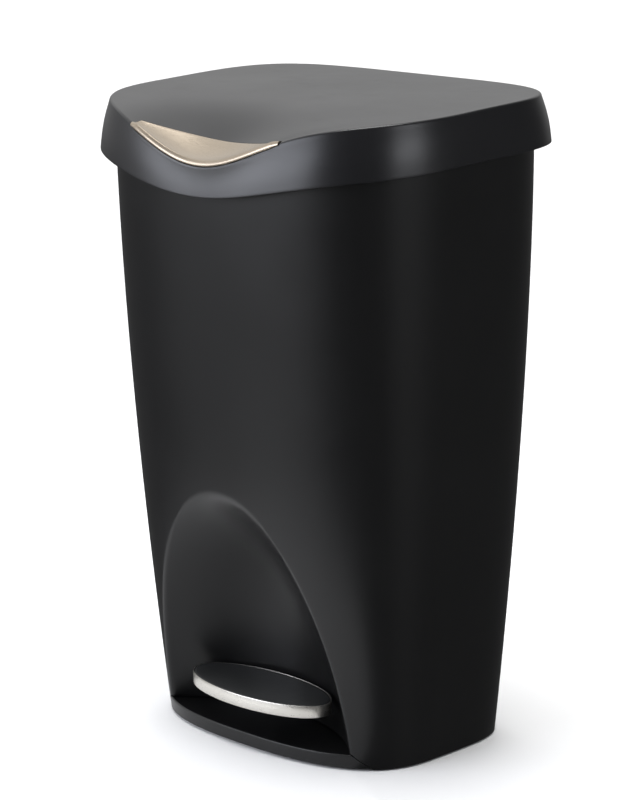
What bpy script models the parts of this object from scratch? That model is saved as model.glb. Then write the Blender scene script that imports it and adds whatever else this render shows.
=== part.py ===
"""Free-standing kitchen pedal bin: tapered D-section body, dipped lid, toe pedal.

Metres, +Z up, front towards -Y, origin on the floor under the middle of the box.
"""
import math

import bmesh
import bpy
from mathutils import Matrix, Vector

# ---------------------------------------------------------------- constants
NAME = "pedal_trash_can"
SHIFT_Y = 0.0045            # puts the middle of the overall box on Y = 0
Z_REF = 0.600               # height the upper body section is given at
HALF_W = (0.1630, 0.1962)   # body half width, at the floor and at Z_REF
FRONT = (0.1066, 0.1440)    # depth of the front half of the section
BACK = (0.1288, 0.1565)     # depth of the back half of the section
FRONT_N = (2.665, 2.782)    # superellipse powers of the front half
BACK_N = (4.690, 4.553)     # and of the back half
LEAN = -0.0107              # the section's centre line moves forward with height
W_POW, D_POW = 1.526, 1.787  # how the taper eases off towards the rim
WALL = 0.0028               # body wall
BODY_BOTTOM = 0.0015
FLOOR_Z = 0.0700            # underside of the inside floor
FLOOR_T = 0.0030
ARCH_W, ARCH_H, ARCH_N = 0.1250, 0.2630, 2.1   # toe recess outline on the front
SCOOP_BACK, SCOOP_POW = -0.0280, (0.85, 1.60)  # rear wall of the toe recess; crisp low, soft on top
SEAM_X = (0.1270, 0.1425)   # the step's ends, at its top and at its foot
SPLIT_Y, SPLIT_Z = 0.0, 0.2700   # where the body moulding is parted into nodes
STEP_Z = 0.0165             # top of the step
SEAM_COLUMNS = (0.0020, 0.0097, 0.0175)        # from the arch's edge to those ends
PLATE_BOTTOM = 0.0030
LID_FLARE = 0.0137          # how far the skirt's bottom edge stands out
LID_EDGE = 0.0043           # and the lid's upper edge
LID_T = 0.0025
TILT = 0.0404               # the lid rises towards the back
LID_Z, SKIRT_Z = 0.6380, 0.5907
DIP_Z, DIP_W, DIP_L = 0.0457, 0.1036, 0.0726   # dip of the lid at the handle
SKIRT_DIP, SKIRT_DIP_W = 0.0288, 0.1327
RIM_HIDE = 0.0080           # the body's rim stands this far up inside the skirt
TRIM_X = 0.0987             # half length of the handle trim
TRIM_BACK = (-0.1161, -0.1382, 2.16)
TRIM_T = 0.0018
TRIM_LIP = 0.0022           # overhang of the trim's front rim
HINGE_Y, HINGE_Z = 0.1560, 0.5940
HINGE_X = 0.0750
PIVOT_Z = 0.0400
PEDAL = (0.0890, 0.0390, -0.0745)   # half length, half depth, centre in Y
PEDAL_TOP, PEDAL_H = 0.0580, 0.0125
ROD_R = 0.0025
ROD_LOW = (0.1230, 0.0290)
CRANK_Y, CRANK_Z = 0.1385, 0.5809
N_COL, N_SCOOP = 46, 20
CLEAR = 0.0003

scene = bpy.context.scene
for old in list(bpy.data.objects):
    bpy.data.objects.remove(old, do_unlink=True)
parts = bpy.data.collections.new(NAME)
tools = bpy.data.collections.new("cutters")
scene.collection.children.link(parts)
scene.collection.children.link(tools)


# ---------------------------------------------------------------- materials
def material(name, colour, metal=0.0, rough=0.5):
    mat = bpy.data.materials.new(name)
    mat.use_nodes = True
    shader = mat.node_tree.nodes["Principled BSDF"]
    shader.inputs["Base Color"].default_value = (*colour, 1.0)
    shader.inputs["Metallic"].default_value = metal
    shader.inputs["Roughness"].default_value = rough
    mat.diffuse_color = (*colour, 1.0)
    return mat


def plastic(name):
    return material(name, (0.016, 0.016, 0.018), 0.0, 0.42)


def steel(name):
    return material(name, (0.60, 0.58, 0.55), 1.0, 0.30)


def rubber(name):
    return material(name, (0.020, 0.020, 0.020), 0.0, 0.85)


# ---------------------------------------------------------------- mesh helpers
def add(name, bm, mat, coll=None):
    bmesh.ops.recalc_face_normals(bm, faces=bm.faces)
    mesh = bpy.data.meshes.new(name)
    bm.to_mesh(mesh)
    bm.free()
    obj = bpy.data.objects.new(name, mesh)
    if coll is None:
        mesh.materials.append(mat)
        parts.objects.link(obj)
    else:
        coll.objects.link(obj)
        obj.hide_render = True
        obj.display_type = 'WIRE'
    return obj


def cutter(name, bm):
    return add(name, bm, None, tools)


def boolean(obj, tool, kind):
    mod = obj.modifiers.new(kind.lower() + "_" + tool.name, 'BOOLEAN')
    mod.operation = kind
    mod.solver = 'EXACT'
    mod.object = tool


def skin(bm, rings, first_cap=True, last_cap=True):
    """Joins closed rings of equal length with quads and caps the two ends."""
    rows = [[bm.verts.new(p) for p in ring] for ring in rings]
    n = len(rows[0])
    for lo, hi in zip(rows, rows[1:]):
        for i in range(n):
            j = (i + 1) % n
            bm.faces.new((lo[i], lo[j], hi[j], hi[i]))
    if first_cap:
        bm.faces.new(rows[0])
    if last_cap:
        bm.faces.new(rows[-1])
    return rows


def fan(bm, row, x, y, z):
    """Closes a ring with triangles that meet in one point."""
    mid = bm.verts.new((x, y, z))
    for i, vert in enumerate(row):
        bm.faces.new((vert, row[(i + 1) % len(row)], mid))


def cylinder(radius, ends, sides=20, bore=0.0):
    """A rod between two points, or a tube when bore is given."""
    a, b = Vector(ends[0]), Vector(ends[1])
    turn = (b - a).to_track_quat('Z', 'Y').to_matrix().to_4x4()
    place = Matrix.Translation(a) @ turn
    length = (b - a).length

    def ring(r, z):
        return [place @ Vector((r * math.cos(2 * math.pi * i / sides),
                                r * math.sin(2 * math.pi * i / sides), z))
                for i in range(sides)]
    bm = bmesh.new()
    if bore <= 0.0:
        skin(bm, [ring(radius, 0.0), ring(radius, length)])
    else:
        rows = skin(bm, [ring(radius, 0.0), ring(radius, length),
                         ring(bore, length), ring(bore, 0.0)], False, False)
        for i in range(sides):
            j = (i + 1) % sides
            bm.faces.new((rows[3][i], rows[3][j], rows[0][j], rows[0][i]))
    return bm


def box(x0, x1, y0, y1, z0, z1):
    bm = bmesh.new()
    skin(bm, [[(x0, y0, z), (x1, y0, z), (x1, y1, z), (x0, y1, z)] for z in (z0, z1)])
    return bm


def extrude_x(profile, x0, x1):
    """A side profile of (y, z) points drawn out between two X planes."""
    bm = bmesh.new()
    skin(bm, [[(x, y, z) for y, z in profile] for x in (x0, x1)])
    return bm


def merge(*parts_in):
    out = bmesh.new()
    for one in parts_in:
        mesh = bpy.data.meshes.new("tmp")
        one.to_mesh(mesh)
        one.free()
        out.from_mesh(mesh)
        bpy.data.meshes.remove(mesh)
    return out


def resample(points, count, closed=False):
    """Points at equal steps of length along a polyline."""
    pts = [Vector(p) for p in points]
    if closed:
        pts.append(pts[0])
    run = [0.0]
    for p, q in zip(pts, pts[1:]):
        run.append(run[-1] + (q - p).length)
    steps = count if closed else count - 1
    out, k = [], 0
    for i in range(count):
        want = run[-1] * i / steps
        while k < len(run) - 2 and run[k + 1] < want:
            k += 1
        span = max(run[k + 1] - run[k], 1e-12)
        out.append(pts[k].lerp(pts[k + 1], min(max((want - run[k]) / span, 0.0), 1.0)))
    return out


# ---------------------------------------------------------------- shape formulas
def ease(z, power):
    t = min(max(z / Z_REF, 0.0), 1.0)
    return 1.0 - (1.0 - t) ** power


def mix(pair, t):
    return pair[0] + (pair[1] - pair[0]) * t


def section(z, grow=0.0):
    """Half width, front depth, back depth, powers and centre of the body at z."""
    t = min(max(z / Z_REF, 0.0), 1.0)
    return (mix(HALF_W, ease(z, W_POW)) + grow, mix(FRONT, ease(z, D_POW)) + grow,
            mix(BACK, ease(z, D_POW)) + grow, mix(FRONT_N, t), mix(BACK_N, t),
            LEAN * t + SHIFT_Y)


def front_y(x, z, grow=0.0):
    a, bf, _, nf, _, yc = section(z, grow)
    return yc - bf * max(1.0 - min(abs(x) / a, 1.0) ** nf, 0.0) ** (1.0 / nf)


def back_y(x, z, grow=0.0):
    a, _, bb, _, nb, yc = section(z, grow)
    return yc + bb * max(1.0 - min(abs(x) / a, 1.0) ** nb, 0.0) ** (1.0 / nb)


def outline(z, grow=0.0, steps=900):
    """The section as (x, y) points, starting at the front centre, turning to +X."""
    a, bf, bb, nf, nb, yc = section(z, grow)
    pts = []
    for i in range(steps):
        t = 2 * math.pi * i / steps - math.pi / 2
        c, s = math.cos(t), math.sin(t)
        b, n = (bf, nf) if s < 0 else (bb, nb)
        x = math.copysign(abs(c) ** (2 / n), c) * a
        pts.append((x, yc + math.copysign(abs(s) ** (2 / n), s) * b))
    return pts


def dip(x, y, width):
    """1 along the front of the lid, falling to 0 towards its back half."""
    fade = 1.0 / (1.0 + math.exp((y - SHIFT_Y + 0.06) / 0.015))
    return math.exp(-(abs(x) / width) ** 2) * fade


def skirt_z(x, y):
    return SKIRT_Z + TILT * (y - SHIFT_Y) - SKIRT_DIP * dip(x, y, SKIRT_DIP_W)


def lid_front(x):
    return front_y(x, Z_REF, LID_EDGE)


def lid_z(x, y):
    """Height of the lid's outer top face."""
    gap = max(y - lid_front(x), 0.0)
    drop = DIP_Z * math.exp(-(abs(x) / DIP_W) ** 2) * math.exp(-(gap / DIP_L) ** 2)
    return LID_Z + TILT * (y - SHIFT_Y) - drop


def rim_z(x, y):
    return skirt_z(x, y) + RIM_HIDE


def arch_half(z):
    t = min(max(z / ARCH_H, 0.0), 1.0)
    return ARCH_W * (1.0 - t ** ARCH_N) ** (1.0 / ARCH_N)


def scoop_y(x, z):
    """Y of the body's front inside the toe recess: upright low down, curving out above."""
    half = arch_half(z)
    if half < 1e-6 or abs(x) >= half:
        return front_y(x, z)
    u, t = abs(x) / half, z / ARCH_H
    middle = mix((SCOOP_BACK, front_y(0.0, z)), 1.0 - (1.0 - t ** 4) ** 1.5)
    edge = front_y(half, z)
    wall = edge + (middle - edge) * (1.0 - u * u) ** mix(SCOOP_POW, t * t)
    return max(wall, front_y(x, z))


def column_half(z):
    """Half width covered by the toe recess columns, arch or not."""
    half = arch_half(z)
    return math.hypot(half, 0.070 * min(z / ARCH_H, 1.0) ** 8)


# ---------------------------------------------------------------- body
def seam_bottom(x, y):
    """Lower edge of the body: cut away above the step, slanting at its ends."""
    if y > 0.0 or abs(x) >= SEAM_X[1]:
        return BODY_BOTTOM
    t = max(abs(x) - SEAM_X[0], 0.0) / (SEAM_X[1] - SEAM_X[0])
    return mix((STEP_Z + 0.0006, BODY_BOTTOM), t)


def ring_at(z, n_col=N_COL, n_scoop=N_SCOOP):
    """Section at one height: recess columns first, then round the back."""
    half = column_half(z)
    pts = []
    for i in range(n_scoop + 1):
        x = -half * math.cos(math.pi * i / n_scoop)
        pts.append(Vector((x, scoop_y(x, z))))
    rest = [Vector(p) for p in outline(z)]
    tail = [p for p in rest if not (p.y < 0.0 and abs(p.x) <= half)]
    seam = [Vector((half + d, front_y(half + d, z))) for d in SEAM_COLUMNS]
    tail = [p for p in tail if not (p.y < 0.0 and abs(p.x) <= seam[-1].x)]
    k = next(i for i, p in enumerate(tail) if p.x > 0.0)
    tail = tail[k:] + tail[:k]
    mirror = [Vector((-p.x, p.y)) for p in reversed(seam)]
    rest = resample([seam[-1]] + tail + [mirror[0]], n_col)[1:-1]
    return pts + seam + rest + mirror


def inset(ring, dist):
    """Moves a ring of (x, y) points inwards, square to its edges."""
    n = len(ring)
    out = []
    for i in range(n):
        p, q, r = ring[i - 1], ring[i], ring[(i + 1) % n]
        d1, d2 = (q - p).normalized(), (r - q).normalized()
        n1, n2 = Vector((-d1.y, d1.x)), Vector((-d2.y, d2.x))
        m = (n1 + n2).normalized()
        out.append(q + m * dist / max(m.dot(n1), 0.55))
    return out


def body_ring(level, low, high, inner=0.0):
    """Ring whose every column sits the share `level` between two heights."""
    n = len(low)
    cache = {}
    out = []
    for i in range(n):
        z = low[i] + (high[i] - low[i]) * level
        key = round(z, 6)
        if key not in cache:
            ring = ring_at(z)
            cache[key] = inset(ring, inner) if inner else ring
        p = cache[key][i]
        out.append((p.x, p.y, z))
    return out


def body_skin():
    """The whole moulding as one closed skin: outside, inside and both faces of the floor."""
    foot = ring_at(0.008)
    top = ring_at(Z_REF)
    low = [seam_bottom(p.x, p.y) if i > N_SCOOP or i == 0 else STEP_Z + 0.0006
           for i, p in enumerate(foot)]
    low[0] = low[N_SCOOP] = STEP_Z + 0.0006
    high = [rim_z(p.x, p.y) for p in top]
    levels = [0.0, 0.03, 0.07, 0.12, 0.17, 0.22, 0.26, 0.30, 0.335, 0.365, 0.39, 0.41, 0.43,
              0.45, 0.49, 0.56, 0.65, 0.75, 0.86, 0.94, 1.0]
    outer = [body_ring(t, low, high) for t in levels]
    floor_top = [FLOOR_Z + FLOOR_T] * len(low)
    upper = [body_ring(t, floor_top, high, WALL)
             for t in (1.0, 0.9, 0.75, 0.6, 0.5, 0.43, 0.39, 0.365, 0.34, 0.31, 0.28, 0.24, 0.20,
                       0.15, 0.10, 0.05, 0.0)]
    floor_low = [FLOOR_Z] * len(low)
    lower = [body_ring(t, low, floor_low, WALL) for t in (1.0, 0.5, 0.0)]
    bm = bmesh.new()
    rows = skin(bm, outer + upper, False, False)
    inner_rows = skin(bm, lower, False, False)
    fan(bm, rows[-1], 0.0, 0.085, FLOOR_Z + FLOOR_T)
    fan(bm, inner_rows[0], 0.0, 0.085, FLOOR_Z)
    n = len(low)
    for i in range(n):
        j = (i + 1) % n
        bm.faces.new((inner_rows[-1][i], inner_rows[-1][j], rows[0][j], rows[0][i]))
    return bm


def make_body():
    """One moulding in three nodes that meet face to face: above the recess, front and rear."""
    far = 0.5
    zones = (("body_shell", (-far, far, SPLIT_Z, 2 * far)),
             ("body_front", (-far, SPLIT_Y, -far, SPLIT_Z)),
             ("body_rear", (SPLIT_Y, far, -far, SPLIT_Z)))
    for name, (y0, y1, z0, z1) in zones:
        part = add(name, body_skin(), plastic(name + "_plastic"))
        boolean(part, cutter("keep_" + name, box(-far, far, y0, y1, z0, z1)), 'INTERSECT')
        part.modifiers[-1].use_self = True
        if name == "body_shell":
            hole = box(-0.007, 0.007, 0.140, 0.160, 0.5860, 0.620)
        elif name == "body_front":
            hole = box(-0.019, 0.019, -0.060, -0.012, 0.0270, 0.0530)
        else:
            y = rod_y(FLOOR_Z)
            hole = cylinder(0.0048, ((0.0, y, 0.060), (0.0, y, 0.080)), 24)
        boolean(part, cutter("cut_" + name, hole), 'DIFFERENCE')


def rod_y(z):
    t = (z - ROD_LOW[1]) / (CRANK_Z - ROD_LOW[1])
    return mix((ROD_LOW[0], CRANK_Y), t)


# ---------------------------------------------------------------- base plate
def base_ring(z, shrink=0.0, n_front=24):
    """Outer face between the legs, then in behind the body wall all the way round."""
    edge = mix((SEAM_X[1], SEAM_X[0]), (z - BODY_BOTTOM) / (STEP_Z - BODY_BOTTOM)) - 0.0006
    edge -= shrink
    pts = []
    for i in range(n_front + 1):
        x = -edge + 2 * edge * i / n_front
        pts.append(Vector((x, front_y(x, z, -shrink))))
    deep = WALL + 0.0008 + shrink
    slope = (front_y(edge + 1e-4, z) - front_y(edge - 1e-4, z)) / 2e-4
    turn = pts[-1] + Vector((-slope, 1.0)).normalized() * (deep - shrink)
    inner = inset(ring_at(z), deep)
    first, last = N_SCOOP + 3, len(inner) - 3
    column = inner[first - 1]
    side = column if edge < column.x - 0.001 else turn.lerp(inner[first], 0.5)
    rest = [turn, side] + inner[first:last + 1]
    return pts + rest + [Vector((-side.x, side.y)), Vector((-turn.x, turn.y))]


FEET = ((0.112, 0.100), (-0.112, 0.100), (0.098, -0.062), (-0.098, -0.062))


def make_base():
    bm = bmesh.new()
    heights = (PLATE_BOTTOM, 0.0150, STEP_Z)
    skin(bm, [[(p.x, p.y, z) for p in base_ring(z, s)]
              for z, s in zip(heights, (0.0, 0.0, 0.0008))])
    base = add("base_plate", bm, plastic("base_plastic"))
    under = bmesh.new()
    skin(under, [[(p.x, p.y, z) for p in base_ring(0.010, 0.0030)]
                 for z in (-0.010, STEP_Z - 0.0028)])
    hollow = cutter("cut_base_hollow", under)
    boolean(base, hollow, 'DIFFERENCE')
    posts = [cylinder(0.0085, ((x, y, PLATE_BOTTOM + 0.0008), (x, y, STEP_Z - 0.0010)))
             for x, y in FEET]
    boolean(base, cutter("add_foot_bosses", merge(*posts)), 'UNION')
    for (x, y), tag in zip(FEET, ("back_right", "back_left", "front_right", "front_left")):
        add("foot_" + tag, cylinder(0.0080, ((x, y, 0.0), (x, y, PLATE_BOTTOM + 0.0005))),
            rubber("foot_rubber_" + tag))
    return base


# ---------------------------------------------------------------- lid
def lid_ring(grow, z_of, count=72):
    ring = resample(outline(Z_REF, grow), count, closed=True)
    return [(p.x, p.y, z_of(p.x, p.y)) for p in ring]


def lid_patch(share, grow, z_of, count=72):
    """Ring of the top face, drawn in towards the middle of the lid."""
    ring = resample(outline(Z_REF, grow), count, closed=True)
    out = []
    for p in ring:
        x, y = p.x * share, (p.y - 0.01) * share + 0.01
        out.append((x, y, z_of(x, y)))
    return out


def thick(x, y):
    """Lid thickness: doubled under the handle trim."""
    gap = y - lid_front(x)
    pad = 1.0 / (1.0 + math.exp((gap - 0.055) / 0.004)) / (1.0 + math.exp((abs(x) - 0.108) / 0.004))
    return LID_T + 0.0026 * pad


def under_z(x, y):
    return lid_z(x, y) - thick(x, y)


def make_lid():
    def between(t, drop=0.0):
        return lambda x, y: skirt_z(x, y) + (lid_z(x, y) - skirt_z(x, y)) * t - drop
    shares = (0.985, 0.95, 0.90, 0.83, 0.74, 0.62, 0.45, 0.22)
    rings = [lid_ring(LID_FLARE, skirt_z), lid_ring(LID_FLARE - 0.0018, between(0.30)),
             lid_ring(LID_EDGE + 0.0042, between(0.65)), lid_ring(LID_EDGE + 0.0004, between(0.95)),
             lid_ring(LID_EDGE - 0.0010, lid_z)]
    rings += [lid_patch(s, LID_EDGE - 0.0010, lid_z) for s in shares]
    inner = [lid_ring(LID_FLARE - LID_T, skirt_z),
             lid_ring(LID_FLARE - 0.0018 - LID_T, between(0.30)),
             lid_ring(LID_EDGE + 0.0042 - LID_T, between(0.65)),
             lid_ring(LID_EDGE - 0.0012 - LID_T, between(1.0, 0.0052)),
             lid_ring(LID_EDGE - 0.0030 - LID_T, under_z)]
    inner += [lid_patch(s, LID_EDGE - 0.0030 - LID_T, under_z) for s in shares]
    bm = bmesh.new()
    rows = skin(bm, rings, False, True)
    below = skin(bm, inner, False, True)
    n = len(rows[0])
    for i in range(n):
        j = (i + 1) % n
        bm.faces.new((below[0][i], below[0][j], rows[0][j], rows[0][i]))
    lid = add("lid_shell", bm, plastic("lid_plastic"))
    boolean(lid, cutter("cut_trim_pocket", trim_mesh(0.0003, True)), 'DIFFERENCE')
    posts = []
    for side in (-1, 1):
        x, y, z = bumper_spot(side)
        posts.append(cylinder(0.0048, ((x, y, z + 0.0034), (x, y, under_z(x, y) + 0.0015))))
    boolean(lid, cutter("add_bumper_posts", merge(*posts)), 'UNION')
    return lid


def bumper_spot(side):
    x = side * 0.1480
    y = front_y(x, 0.595) + WALL * 1.2
    z = max(rim_z(x + dx, y + dy) for dx in (-0.005, 0.005) for dy in (-0.005, 0.005))
    return x, y, z


# ---------------------------------------------------------------- handle trim
def trim_back(x):
    mid, tip, power = TRIM_BACK
    return mid + (tip - mid) * (abs(x) / TRIM_X) ** power + SHIFT_Y


def trim_mesh(grow=0.0, tool=False, n_x=36, n_y=7):
    """Crescent dished plate with a thick rolled front rim."""
    half = TRIM_X + grow
    tops, lows = [], []
    for i in range(n_x + 1):
        x = -half * math.cos(math.pi * i / n_x)
        back, front = trim_back(min(abs(x), TRIM_X)) + grow, lid_front(x) - TRIM_LIP - grow
        lip = min(1.0, (half - abs(x)) / 0.012 + 0.35)
        top, low = [], []
        for j in range(n_y + 1):
            u = j / n_y
            y = back + (front - back) * u
            z = lid_z(x, y) + 0.0003
            dish = 0.0011 * math.sin(math.pi * min(u / 0.86, 1.0)) * lip
            depth = TRIM_T if u < 0.84 else TRIM_T + 0.0020 * lip
            if tool:
                top.append((x, y, z + 0.012))
                low.append((x, y, z - dish - depth - grow - (0.004 if j == n_y else 0.0)))
            else:
                top.append((x, y, z - dish))
                low.append((x, y, z - dish - depth))
        tops.append(top)
        lows.append(low)
    bm = bmesh.new()
    vt = [[bm.verts.new(p) for p in row] for row in tops]
    vl = [[bm.verts.new(p) for p in row] for row in lows]
    for i in range(n_x):
        for j in range(n_y):
            bm.faces.new((vt[i][j], vt[i + 1][j], vt[i + 1][j + 1], vt[i][j + 1]))
            bm.faces.new((vl[i][j], vl[i][j + 1], vl[i + 1][j + 1], vl[i + 1][j]))
        for j in (0, n_y):
            bm.faces.new((vt[i][j], vl[i][j], vl[i + 1][j], vt[i + 1][j]))
    for j in range(n_y):
        for i in (0, n_x):
            bm.faces.new((vt[i][j], vt[i][j + 1], vl[i][j + 1], vl[i][j]))
    return bm


# ---------------------------------------------------------------- hinges
def make_hinge(side, tag):
    cx = side * HINGE_X
    y, z = HINGE_Y, HINGE_Z
    wall_y = back_y(cx, 0.575)
    plate = box(cx - 0.014, cx + 0.014, wall_y + CLEAR, wall_y + 0.0025, 0.566, z - 0.0056)
    bracket = add("hinge_bracket_" + tag, plate, plastic("bracket_plastic_" + tag))
    knuckle = cylinder(0.0042, ((cx - 0.0060, y, z), (cx + 0.0060, y, z)), 24)
    web = box(cx - 0.0060, cx + 0.0060, wall_y + 0.0008, y - 0.0005, z - 0.0100, z + 0.0008)
    boolean(bracket, cutter("add_knuckle_web_" + tag, web), 'UNION')
    boolean(bracket, cutter("add_knuckle_" + tag, knuckle), 'UNION')
    bore = cylinder(0.0018, ((cx - 0.02, y, z), (cx + 0.02, y, z)), 20)
    bore = cutter("cut_pin_bore_" + tag, bore)
    boolean(bracket, bore, 'DIFFERENCE')
    for i, dx in enumerate((-0.0095, 0.0095)):
        hole = cylinder(0.0019, ((cx + dx, wall_y - 0.004, 0.574), (cx + dx, y + 0.004, 0.574)), 16)
        boolean(bracket, cutter("cut_screw_%s_%d" % (tag, i), hole), 'DIFFERENCE')
        add("hinge_screw_%s_%s" % (tag, "ab"[i]),
            screw(cx + dx, wall_y + 0.0028, 0.574), steel("screw_steel_%s_%d" % (tag, i)))
    inner = skirt_inner_y(cx)
    leaf = add("lid_leaf_" + tag,
               box(cx - 0.014, cx + 0.014, inner - 0.0028, inner - CLEAR, z + 0.0048, z + 0.0220),
               plastic("leaf_plastic_" + tag))
    ears = []
    for dx in (-0.0100, 0.0100):
        ears.append(merge(box(cx + dx - 0.0034, cx + dx + 0.0034, y - 0.0036, inner - 0.0008,
                              z - 0.0005, z + 0.0060)))
    boolean(leaf, cutter("add_leaf_ears_" + tag, merge(*ears)), 'UNION')
    rolls = [cylinder(0.0042, ((cx + dx - 0.0034, y, z), (cx + dx + 0.0034, y, z)), 24)
             for dx in (-0.0100, 0.0100)]
    boolean(leaf, cutter("add_leaf_knuckles_" + tag, merge(*rolls)), 'UNION')
    boolean(leaf, bore, 'DIFFERENCE')
    add("hinge_pin_" + tag, cylinder(0.0015, ((cx - 0.0145, y, z), (cx + 0.0145, y, z)), 16),
        steel("pin_steel_" + tag))


def skirt_inner_y(x):
    """Inside face of the lid's skirt at the back, a little above its edge."""
    return back_y(x, Z_REF, LID_FLARE - LID_T - 0.0042)


def screw(x, y, z, radius=0.0032, stem=0.0016, reach=0.0026):
    """Domed head on the +Y side with a short stem going in towards -Y."""
    profile = [(stem, -reach), (stem, 0.0), (radius, 0.0), (radius, 0.0007), (radius * 0.62, 0.0017)]
    bm = bmesh.new()
    sides = 14
    skin(bm, [[(x + r * math.cos(2 * math.pi * i / sides), y + h,
                z + r * math.sin(2 * math.pi * i / sides)) for i in range(sides)]
              for r, h in profile])
    return bm


# ---------------------------------------------------------------- lift linkage
def make_crank():
    """Bracket under the lid whose open fork takes the rod's pin."""
    def top(y, down=0.0):
        return under_z(0.0, y) - CLEAR - 0.0004 - down

    foot = [(0.100, top(0.100)), (0.138, top(0.138)), (0.138, top(0.138, 0.0024)),
            (0.100, top(0.100, 0.0024))]
    crank = add("lid_crank", extrude_x(foot, -0.010, 0.010), plastic("crank_plastic"))
    reach = [(0.106, top(0.106, 0.0012)), (0.134, top(0.134, 0.0012)), (0.1430, 0.6050),
             (0.1445, 0.5890), (0.1440, 0.5745), (0.1330, 0.5735), (0.1280, 0.5790),
             (0.1240, 0.6000)]
    boolean(crank, cutter("add_crank_web", extrude_x(reach, -0.0016, 0.0016)), 'UNION')
    dy, dz = CRANK_Y - HINGE_Y, CRANK_Z - HINGE_Z
    length = math.hypot(dy, dz)
    uy, uz = dy / length, dz / length
    ends = [(HINGE_Y + uy * (length + s), HINGE_Z + uz * (length + s)) for s in (-0.0080, 0.0008)]
    slot = []
    for k, (y, z) in enumerate(ends):
        start = math.atan2(uz, uy) + (math.pi / 2 if k == 0 else -math.pi / 2)
        for i in range(9):
            ang = start + math.pi * i / 8
            slot.append((y + 0.0028 * math.cos(ang), z + 0.0028 * math.sin(ang)))
    boolean(crank, cutter("cut_crank_slot", extrude_x(slot, -0.004, 0.004)), 'DIFFERENCE')
    for x, y in ((-0.0062, 0.1045), (0.0062, 0.1045)):
        name = "crank_screw_" + ("left" if x < 0 else "right")
        low = top(y, 0.0024)
        hole = cylinder(0.0019, ((x, y, low - 0.003), (x, y, low + 0.004)), 16)
        boolean(crank, cutter("cut_" + name, hole), 'DIFFERENCE')
        piece = add(name, cylinder(0.0030, ((x, y, low - 0.0021), (x, y, low - 0.0005)), 14),
                    steel("steel_" + name))
        stem = cylinder(0.0015, ((x, y, low - 0.0010), (x, y, low + 0.0018)), 14)
        boolean(piece, cutter("add_stem_" + name, stem), 'UNION')


def make_rod():
    step = Vector((0.0, CRANK_Y - ROD_LOW[0], CRANK_Z - ROD_LOW[1])).normalized()
    low = Vector((0.0, ROD_LOW[0], ROD_LOW[1] + 0.0018))
    pin = Vector((0.0, CRANK_Y, CRANK_Z))
    add("lift_rod", cylinder(ROD_R, (low, pin - step * 0.0090), 20), steel("rod_steel"))
    clevis = box(-0.0058, 0.0058, CRANK_Y - 0.0038, CRANK_Y + 0.0038, CRANK_Z - 0.0240,
                 CRANK_Z + 0.0036)
    clevis = add("rod_clevis", clevis, plastic("clevis_plastic"))
    gap = box(-0.0026, 0.0026, CRANK_Y - 0.006, CRANK_Y + 0.006, CRANK_Z - 0.0082,
              CRANK_Z + 0.006)
    boolean(clevis, cutter("cut_clevis_gap", gap), 'DIFFERENCE')
    socket = cylinder(ROD_R + 0.0002, (pin - step * 0.030, pin - step * 0.0088), 20)
    boolean(clevis, cutter("cut_clevis_socket", socket), 'DIFFERENCE')
    eye = cylinder(0.0017, ((-0.02, CRANK_Y, CRANK_Z), (0.02, CRANK_Y, CRANK_Z)), 16)
    boolean(clevis, cutter("cut_clevis_eye", eye), 'DIFFERENCE')
    add("clevis_pin", cylinder(0.0015, ((-0.0066, CRANK_Y, CRANK_Z), (0.0066, CRANK_Y, CRANK_Z)),
                               16), steel("clevis_steel"))
    y = rod_y(FLOOR_Z)
    top = FLOOR_Z + FLOOR_T
    bush = add("rod_guide", cylinder(0.0075, ((0, y, top + CLEAR), (0, y, top + 0.0018)), 24),
               plastic("guide_plastic"))
    neck = cylinder(0.0045, ((0, y, FLOOR_Z - 0.002), (0, y, top + 0.001)), 24)
    boolean(bush, cutter("add_guide_neck", neck), 'UNION')
    hole = cylinder(0.0032, ((0, y, 0.05), (0, y, 0.09)), 24)
    boolean(bush, cutter("cut_guide_bore", hole), 'DIFFERENCE')


def make_channel():
    """Cover inside the back wall that keeps the rod clear of the waste."""
    rings = []
    for z in (0.0780, 0.160, 0.250, 0.340, 0.430, 0.520):
        wall_y = back_y(0.0, z) - WALL - 0.0005
        front = rod_y(z) - 0.0090
        w, t = 0.0120, 0.0016
        ring = [(-w, wall_y), (-w, front), (w, front), (w, wall_y), (w - t, wall_y),
                (w - t, front + t), (-w + t, front + t), (-w + t, wall_y)]
        rings.append([(x, y, z) for x, y in ring])
    bm = bmesh.new()
    skin(bm, rings)
    add("rod_channel", bm, plastic("channel_plastic"))


# ---------------------------------------------------------------- pedal
def lens(grow, z, count=44, half=PEDAL[0], deep=PEDAL[1]):
    out = []
    for i in range(count):
        t = 2 * math.pi * i / count
        out.append(((half + grow) * math.cos(t), PEDAL[2] + (deep + grow) * math.sin(t), z))
    return out


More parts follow.
